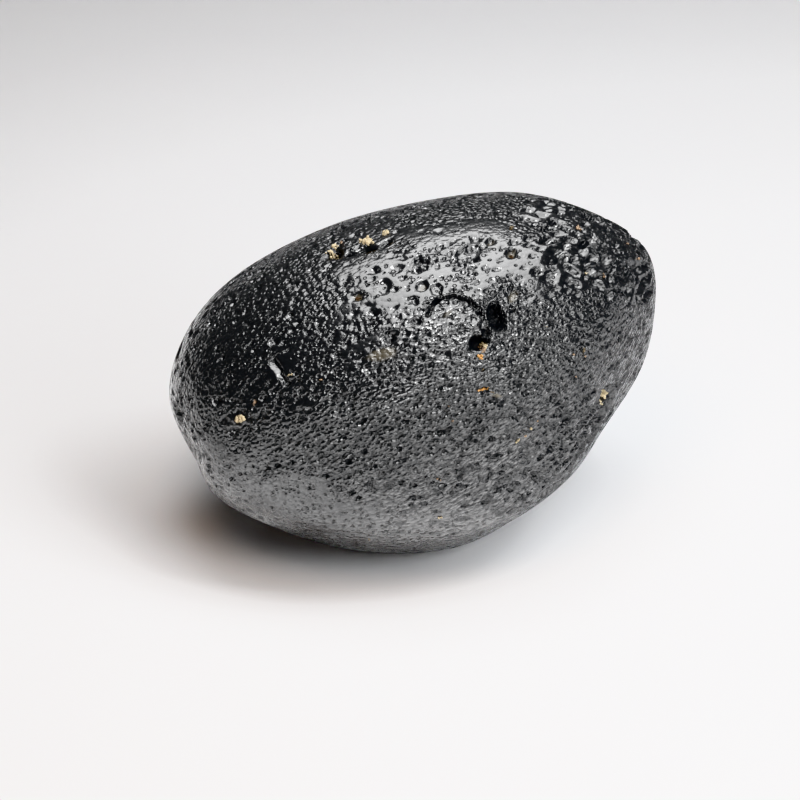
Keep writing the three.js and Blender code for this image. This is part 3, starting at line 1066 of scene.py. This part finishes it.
def work(tree: Tree, operation: str, *values: Socket | float) -> Socket:
    """Adds a node that does sums with values."""
    return add_node(tree, "Math", dict(enumerate(values)), operation=operation).outputs[0]


def ramp(tree: Tree, value: Socket, start: Pair, end: Pair, eased: bool = False) -> Socket:
    """Adds a node that leads a value from one pair of input and output to another.

    Args:
        tree: The node tree.
        value: The value to read.
        start: An input, and the output that it gives.
        end: Another input, and the output that it gives.
        eased: Whether the way between them starts and ends softly.

    Returns:
        The output.
    """
    names = ("From Min", "To Min", "From Max", "To Max")
    inputs = {"Value": value, **dict(zip(names, (*start, *end)))}
    kind = "SMOOTHSTEP" if eased else "LINEAR"
    return add_node(tree, "MapRange", inputs, interpolation_type=kind).outputs[0]


def cells(
    tree: Tree, place: Socket, cell_mm: float, share: Socket
) -> tuple[Socket, Socket, Socket]:
    """Splits the stone into cells about points strewn at random, of which a share are used.

    Args:
        tree: The node tree.
        place: Where on the stone, in metres.
        cell_mm: The size of a cell.
        share: The share of the cells that are used.

    Returns:
        How far the skin is from its cell's point, in cells, one random number for each cell, and 1
        in the cells that are used.
    """
    made = add_node(tree, "TexVoronoi", {"Vector": place, "Scale": 1 / (MM * cell_mm)})
    split = add_node(tree, "SeparateColor", {"Color": made.outputs["Color"]}).outputs
    return made.outputs["Distance"], split["Green"], work(tree, "LESS_THAN", split["Red"], share)


def speckle(tree: Tree, place: Socket, grain_mm: float) -> Socket:
    """Adds fine noise with grains of a size."""
    inputs = {"Vector": place, "Scale": 1 / (MM * grain_mm), "Detail": 2.0}
    return add_node(tree, "TexNoise", inputs).outputs["Fac"]


def new_material(name: str, **constants: object) -> tuple[Material, Tree, dict[str, Socket]]:
    """Makes a material with constants set on its shader.

    Args:
        name: The material's name.
        constants: Values for the shader's inputs, with _ for each blank in a name.

    Returns:
        The material, its node tree and its shader's inputs.
    """
    material = bpy.data.materials.new(name)
    material.use_nodes = True
    tree = material.node_tree
    inputs = tree.nodes["Principled BSDF"].inputs
    for key, value in constants.items():
        inputs[key.replace("_", " ")].default_value = value
    return material, tree, inputs


@dataclass(frozen=True)
class EtchedGlass:
    """Natural black glass, frozen from a splash and etched by soil water.

    The glass is opaque black at this thickness. Between the pits it keeps the gloss of a frozen
    skin, drawn as a coat, which mirrors the room in a soft blur. Inside the pits, in the cracks
    between bumps, in the bubbles' moats, in deep hollows and under films of clay the coat is
    thinned, so the gloss is mostly gone and they show dark with bright lips. Under clay this is the
    film's own dull face; elsewhere it is partly the frosted floor of the etch and partly painted
    shade, standing in for the shadow that the fine pits and bumps would cast inside themselves. Each
    dull share is how much of the gloss such a place loses.
    """

    colour: str = "#090b0e"
    clay_colour: str = "#7d7767"
    ior: float = 1.5
    inner_mirror: float = 0.15
    gloss_roughness: float = 0.11
    # With the dull shares below, how far the coat thins: painted shade in pits, cracks, moats and hollows,
    # the clay's own dullness under its films.
    coat_loss: float = 0.9
    roughening: float = 0.25
    coarse_mm: float = 0.5
    coarse_depth_mm: float = 0.13
    coarse_dull: float = 0.5
    fine_mm: float = 0.36
    fine_depth_mm: float = 0.05
    fine_dull: float = 0.4
    pit_slope: Pair = (0.5, 0.12)
    pit_inside: Pair = (0.42, 0.26)
    cobble_mm: float = 0.52
    cobble_height_mm: float = 0.08
    cobble_chance: float = 0.85
    crack: Pair = (0.8, 1.6)
    crack_dull: float = 0.5
    blister_mm: float = 0.8
    blister_radius: float = 0.16
    moat_width: float = 0.09
    moat_depth_mm: float = 0.07
    moat_dull: float = 0.7
    clay_dull: float = 0.8
    grain_mm: float = 0.18
    grain_height_mm: float = 0.006
    flow_stretch: float = 1.5
    flow_rise: float = 32.0

    def material(self) -> Material:
        """Makes the glass's material.

        Returns:
            The material.
        """
        material, tree, shader = new_material(
            "etched_black_glass",
            IOR=self.ior,
            Specular_IOR_Level=self.inner_mirror,
            Coat_Roughness=self.gloss_roughness,
            Coat_IOR=self.ior,
        )
        place = add_node(tree, "TexCoord").outputs["Object"]
        rise = (0.0, -math.radians(self.flow_rise), 0.0)
        inputs = {"Vector": place, "Rotation": rise, "Scale": (self.flow_stretch, 1.0, 1.0)}
        drawn = add_node(tree, "Mapping", inputs, vector_type="TEXTURE").outputs["Vector"]
        coarse, coarse_inside = self._pits(tree, drawn, self.coarse_mm)
        fine, fine_inside = self._pits(tree, drawn, self.fine_mm)
        cobbles, cracks = self._cobbles(tree, drawn)
        moats = self._moats(tree, place)
        clay = read(tree, "clay")
        height = work(tree, "MULTIPLY", speckle(tree, place, self.grain_mm), self.grain_height_mm)
        for hollow, depth in (
            (coarse, self.coarse_depth_mm),
            (fine, self.fine_depth_mm),
            (cobbles, self.cobble_height_mm),
            (moats, self.moat_depth_mm),
        ):
            height = work(tree, "MULTIPLY_ADD", hollow, -depth, height)
        # The mask that thins the coat: the clay's own dullness under films, and painted shade in pits,
        # cracks, moats and deep hollows.
        dull_and_shade = read(tree, "hollow")
        for inside, share in (
            (coarse_inside, self.coarse_dull),
            (fine_inside, self.fine_dull),
            (cracks, self.crack_dull),
            (moats, self.moat_dull),
            (clay, self.clay_dull),
        ):
            dull_and_shade = work(tree, "MAXIMUM", dull_and_shade, work(tree, "MULTIPLY", inside, share))
        inputs = {"Factor": clay, 6: linear(self.colour), 7: linear(self.clay_colour)}
        film = add_node(tree, "Mix", inputs, data_type="RGBA").outputs[2]
        bump = add_node(tree, "Bump", {"Height": height, "Distance": MM, "Strength": 1.0}).outputs[0]
        rough = work(tree, "MULTIPLY_ADD", dull_and_shade, self.roughening, read(tree, "roughness"))
        tree.links.new(film, shader["Base Color"])
        # The coat thinned by that mask, as painted shade in the recesses and real dullness under clay.
        tree.links.new(work(tree, "MULTIPLY_ADD", dull_and_shade, -self.coat_loss, 1.0), shader["Coat Weight"])
        tree.links.new(rough, shader["Roughness"])
        tree.links.new(bump, shader["Normal"])
        tree.links.new(bump, shader["Coat Normal"])
        return material

    def _pits(self, tree: Tree, place: Socket, cell_mm: float) -> tuple[Socket, Socket]:
        """Adds pits finer than the mesh holds, one to a cell at most.

        Args:
            tree: The material's nodes.
            place: Where on the stone, in metres.
            cell_mm: The size of a cell.

        Returns:
            1 at the bottom of a pit and 0 between pits, and 1 all over a pit's inside.
        """
        away, _, used = cells(tree, place, cell_mm, read(tree, "micro"))
        slope, inside = (
            work(tree, "MULTIPLY", ramp(tree, away, (rim, 0.0), (floor, 1.0), eased=True), used)
            for rim, floor in (self.pit_slope, self.pit_inside)
        )
        return slope, inside

    def _cobbles(self, tree: Tree, place: Socket) -> tuple[Socket, Socket]:
        """Adds the rounded bumps, side by side, that etching leaves on most of the skin.

        Args:
            tree: The material's nodes.
            place: Where on the stone, in metres.

        Returns:
            How far the skin lies below the bumps' tops, as a share of their height, and 1 in the
            cracks between them. Both fade where the skin has no bumps.
        """
        scale = 1 / (MM * self.cobble_mm)
        inputs = {"Vector": place, "Scale": scale, "Randomness": self.cobble_chance}
        away = add_node(tree, "TexVoronoi", inputs).outputs["Distance"]
        halves = work(tree, "MULTIPLY", away, 2.0)
        below = work(tree, "MULTIPLY", halves, halves)
        cracks = ramp(tree, below, (self.crack[0], 0.0), (self.crack[1], 1.0))
        bumpy = read(tree, "cobbles")
        return work(tree, "MULTIPLY", below, bumpy), work(tree, "MULTIPLY", cracks, bumpy)

    def _moats(self, tree: Tree, place: Socket) -> Socket:
        """Adds fine bubbles that the etching has cut open, each a flat disc inside a thin moat.

        Args:
            tree: The material's nodes.
            place: Where on the stone, in metres.

        Returns:
            1 at the bottom of a moat, 0 elsewhere.
        """
        away, size, used = cells(tree, place, self.blister_mm, read(tree, "blisters"))
        radius = work(tree, "MULTIPLY_ADD", size, self.blister_radius, self.blister_radius)
        off = work(tree, "ABSOLUTE", work(tree, "SUBTRACT", away, radius))
        moat = ramp(tree, off, (0.0, 1.0), (self.moat_width, 0.0), eased=True)
        return work(tree, "MULTIPLY", moat, used)


@dataclass(frozen=True)
class DriedLaterite:
    """Fine laterite soil, dried from mud: dull and crumbly, with no gloss at all."""

    roughness: float = 0.95
    mirror: float = 0.2
    crumb_mm: float = 0.09
    crumb_depth_mm: float = 0.02
    dark: Pair = (0.3, 0.7)
    light: Pair = (0.7, 1.1)

    def material(self) -> Material:
        """Makes the soil's material.

        Returns:
            The material.
        """
        material, tree, shader = new_material(
            "dried_laterite", Roughness=self.roughness, Specular_IOR_Level=self.mirror
        )
        tint = read(tree, "tint", "Color")
        crumbs = speckle(tree, add_node(tree, "TexCoord").outputs["Object"], self.crumb_mm)
        inputs = {0: tint, "Scale": ramp(tree, crumbs, self.dark, self.light)}
        colour = add_node(tree, "VectorMath", inputs, operation="SCALE").outputs[0]
        bump = add_node(tree, "Bump", {"Height": crumbs, "Distance": MM * self.crumb_depth_mm})
        tree.links.new(colour, shader["Base Color"])
        tree.links.new(bump.outputs["Normal"], shader["Normal"])
        return material


@dataclass(frozen=True)
class StudioPaper:
    """A sheet of plain white paper, rolled smooth: matt, so that it shows no lamp's mirror."""

    colour: str = "#ebedf0"
    roughness: float = 0.9

    def material(self) -> Material:
        """Makes the paper's material."""
        constants = {"Roughness": self.roughness, "Specular_IOR_Level": 0.0, "IOR": 1.0}
        return new_material("studio_paper", Base_Color=linear(self.colour), **constants)[0]


# ---- The studio ----


STONE = (0.0, 0.0, 0.02)


@dataclass(frozen=True)
class Lamp:
    """A square-cornered area light, in metres and watts.

    A mirrored lamp is seen in the glass's gloss and lights nothing. Another lights the floor, the
    soil and the clay, and isn't mirrored.
    """

    name: str
    at: Point
    aim: Point
    width: float
    height: float
    power: float
    mirrored: bool = True
    spread: float = 180.0
    colour: Point = WHITE

    def light(self) -> bpy.types.Object:
        """Puts the light in the scene.

        Returns:
            The light's object.
        """
        data = bpy.data.lights.new(self.name, "AREA")
        data.shape = "RECTANGLE"
        data.size, data.size_y = self.width, self.height
        data.energy = self.power
        data.color = self.colour
        data.spread = math.radians(self.spread)
        lamp = put(self.name, data)
        lamp.location = self.at
        aim = Vector(self.aim) - Vector(self.at)
        lamp.rotation_euler = aim.to_track_quat("-Z", "Y").to_euler()
        lamp.visible_camera = False
        lamp.visible_glossy = self.mirrored
        lamp.visible_diffuse = not self.mirrored
        return lamp


def floor_lamp(
    name: str,
    azimuth: float,
    elevation: float,
    power: float,
    reach: float = 0.3,
    colour: Point = WHITE,
    side: float = 0.12,
) -> Lamp:
    """Gives a square lamp at a place round the stone that lights the floor and isn't mirrored."""
    at = tuple(np.array(STONE) + reach * direction(azimuth, elevation))
    return Lamp(name, at, STONE, side, side, power, mirrored=False, colour=colour)


@dataclass
class Studio:
    """The floor, the lights and the camera round the stone, in metres and degrees.

    The lens and the sensor are in mm.
    """

    floor_size: float = 6.0
    azimuth: float = -104.0
    elevation: float = 32.0
    distance: float = 0.408
    aim: Point = (-0.00246, -0.00018, 0.0178)
    lens: float = 100.0
    sensor: float = 24.0
    room_light: float = 0.28
    lamps: tuple[Lamp, ...] = (
        Lamp("overhead", (0.07, 0.08, 0.62), (0.07, 0.08, 0.0), 0.7, 0.75, 13.5),
        Lamp("key", (0.03, 0.21, 0.58), STONE, 0.69, 0.69, 0.56, spread=60.0),
        Lamp("front_high", (0.22, -0.4, 0.406), STONE, 0.62, 0.2, 2.7),
        Lamp("front_low", (-0.03, -0.594, 0.106), STONE, 0.7, 0.13, 3.9),
        Lamp("front_card", (0.0, -0.358, 0.0005), (0.0, -0.358, 1.0), 1.2, 0.684, 4.7),
        Lamp("near_card", (0.0, -0.0285, 0.001), (0.0, -0.0285, 1.0), 0.1, 0.024, 0.003),
        Lamp("corner_card", (-0.035, -0.015, 0.001), (-0.035, -0.015, 1.0), 0.03, 0.03, 0.002),
        Lamp("left_card", (-0.4, 0.0, 0.0005), (-0.4, 0.0, 1.0), 0.74, 0.6, 1.1),
        Lamp("sparkle", (-0.017, -0.19, 0.6), STONE, 0.14, 0.12, 2.6),
        floor_lamp("top", 0, 90, 0.29, reach=0.2),
        floor_lamp("high_left", -120, 60, 0.24, colour=WARM),
        floor_lamp("high_right", -30, 60, 0.39),
        floor_lamp("back_left", 125, 50, 0.12, reach=0.6),
        floor_lamp("mid_right", -30, 45, 0.27),
        floor_lamp("mid_corner", -45, 30, 0.16),
        floor_lamp("mid_front", -60, 30, 0.42),
        floor_lamp("low_left", -105, 8, 0.09, colour=WARM),
        floor_lamp("low_front", -75, 8, 0.06),
    )

    def build(self) -> bpy.types.Object:
        """Builds the floor, lights and camera.

        Returns:
            The floor's object.
        """
        bm = bmesh.new()
        bmesh.ops.create_grid(bm, x_segments=1, y_segments=1, size=self.floor_size / 2)
        floor = finished("floor", bm)
        floor.data.materials.append(StudioPaper().material())
        for lamp in self.lamps:
            lamp.light()
        self._room()
        self._camera()
        return floor

    def _room(self) -> None:
        """Gives the room a dim light, which falls on nothing matt, and the picture its tones."""
        world = bpy.data.worlds.new("room")
        bpy.context.scene.world = world
        world.use_nodes = True
        background = world.node_tree.nodes["Background"].inputs
        background["Color"].default_value = (*WHITE, 1.0)
        background["Strength"].default_value = self.room_light
        world.cycles_visibility.diffuse = False
        bpy.context.scene.view_settings.view_transform = "Khronos PBR Neutral"

    def _camera(self) -> None:
        """Sets the camera at its angle."""
        back = Vector(direction(self.azimuth, self.elevation))
        data = bpy.data.cameras.new("camera")
        data.lens = self.lens
        data.sensor_width = self.sensor
        camera = put("camera", data)
        camera.location = Vector(self.aim) + back * self.distance
        camera.rotation_euler = (-back).to_track_quat("-Z", "Y").to_euler()
        bpy.context.scene.camera = camera


def main() -> None:
    """Builds the stone and its studio in order, and reports each piece."""
    logging.basicConfig(level=logging.INFO, format="%(name)s: %(message)s")
    log.info("frame: %d CAD nodes", len(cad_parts))
    tektite = Tektite()
    stone = tektite.build()
    stone.data.materials.append(EtchedGlass().material())
    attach(stone, BODY)
    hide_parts(NODE)
    log.info("stone: %d faces", len(stone.data.polygons))
    soil = DriedSoil(tektite).build(stone)
    soil.data.materials.append(DriedLaterite().material())
    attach(soil, BODY)
    log.info("soil: %d faces", len(soil.data.polygons))
    Studio().build()
    log.info("studio: floor, lights and camera")


if __name__ == "__main__":
    main()
